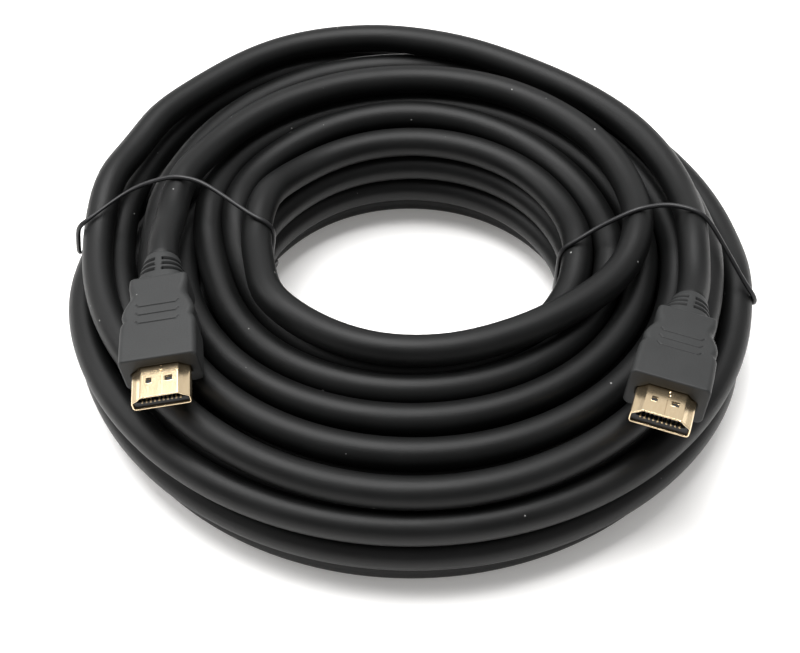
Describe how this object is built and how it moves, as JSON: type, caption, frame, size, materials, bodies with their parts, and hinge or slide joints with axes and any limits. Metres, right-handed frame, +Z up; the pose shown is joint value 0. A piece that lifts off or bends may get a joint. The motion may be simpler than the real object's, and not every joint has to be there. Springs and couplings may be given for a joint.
{
  "type": "coiled hdmi cable",
  "caption": "Long black video cable in a round coil, with a gilt flat plug in a moulded grip at each end and two thin wire ties.",
  "frame": {"origin": "centre of the coil, on the floor that it lies on", "axes": "+Z up along the coil's axis, +Y to the back, away from the way the plugs' mouths point, +X to the right"},
  "size_m": [0.1875, 0.1796, 0.0479],
  "materials": {
    "cable_jacket": "satin black jacket",
    "moulded_grip": "fine-grained matte black moulding",
    "gilt_shell": "bright gilt, lightly brushed",
    "insulator": "plain black moulding",
    "tie_coating": "semi-gloss black coating"
  },
  "bodies": {
    "root": {"coil": "cable_jacket", "lead_left": "cable_jacket", "overmould_left": "moulded_grip", "shell_left": "gilt_shell", "insulator_left": "insulator", "contact_left_narrow_01": "gilt_shell", "contact_left_narrow_02": "gilt_shell", "contact_left_narrow_03": "gilt_shell", "contact_left_narrow_04": "gilt_shell", "contact_left_narrow_05": "gilt_shell", "contact_left_narrow_06": "gilt_shell", "contact_left_narrow_07": "gilt_shell", "contact_left_narrow_08": "gilt_shell", "contact_left_narrow_09": "gilt_shell", "contact_left_wide_01": "gilt_shell", "contact_left_wide_02": "gilt_shell", "contact_left_wide_03": "gilt_shell", "contact_left_wide_04": "gilt_shell", "contact_left_wide_05": "gilt_shell", "contact_left_wide_06": "gilt_shell", "contact_left_wide_07": "gilt_shell", "contact_left_wide_08": "gilt_shell", "contact_left_wide_09": "gilt_shell", "contact_left_wide_10": "gilt_shell", "tie_left": "tie_coating", "lead_right": "cable_jacket", "overmould_right": "moulded_grip", "shell_right": "gilt_shell", "insulator_right": "insulator", "contact_right_narrow_01": "gilt_shell", "contact_right_narrow_02": "gilt_shell", "contact_right_narrow_03": "gilt_shell", "contact_right_narrow_04": "gilt_shell", "contact_right_narrow_05": "gilt_shell", "contact_right_narrow_06": "gilt_shell", "contact_right_narrow_07": "gilt_shell", "contact_right_narrow_08": "gilt_shell", "contact_right_narrow_09": "gilt_shell", "contact_right_wide_01": "gilt_shell", "contact_right_wide_02": "gilt_shell", "contact_right_wide_03": "gilt_shell", "contact_right_wide_04": "gilt_shell", "contact_right_wide_05": "gilt_shell", "contact_right_wide_06": "gilt_shell", "contact_right_wide_07": "gilt_shell", "contact_right_wide_08": "gilt_shell", "contact_right_wide_09": "gilt_shell", "contact_right_wide_10": "gilt_shell", "tie_right": "tie_coating"}
  },
  "joints": []
}
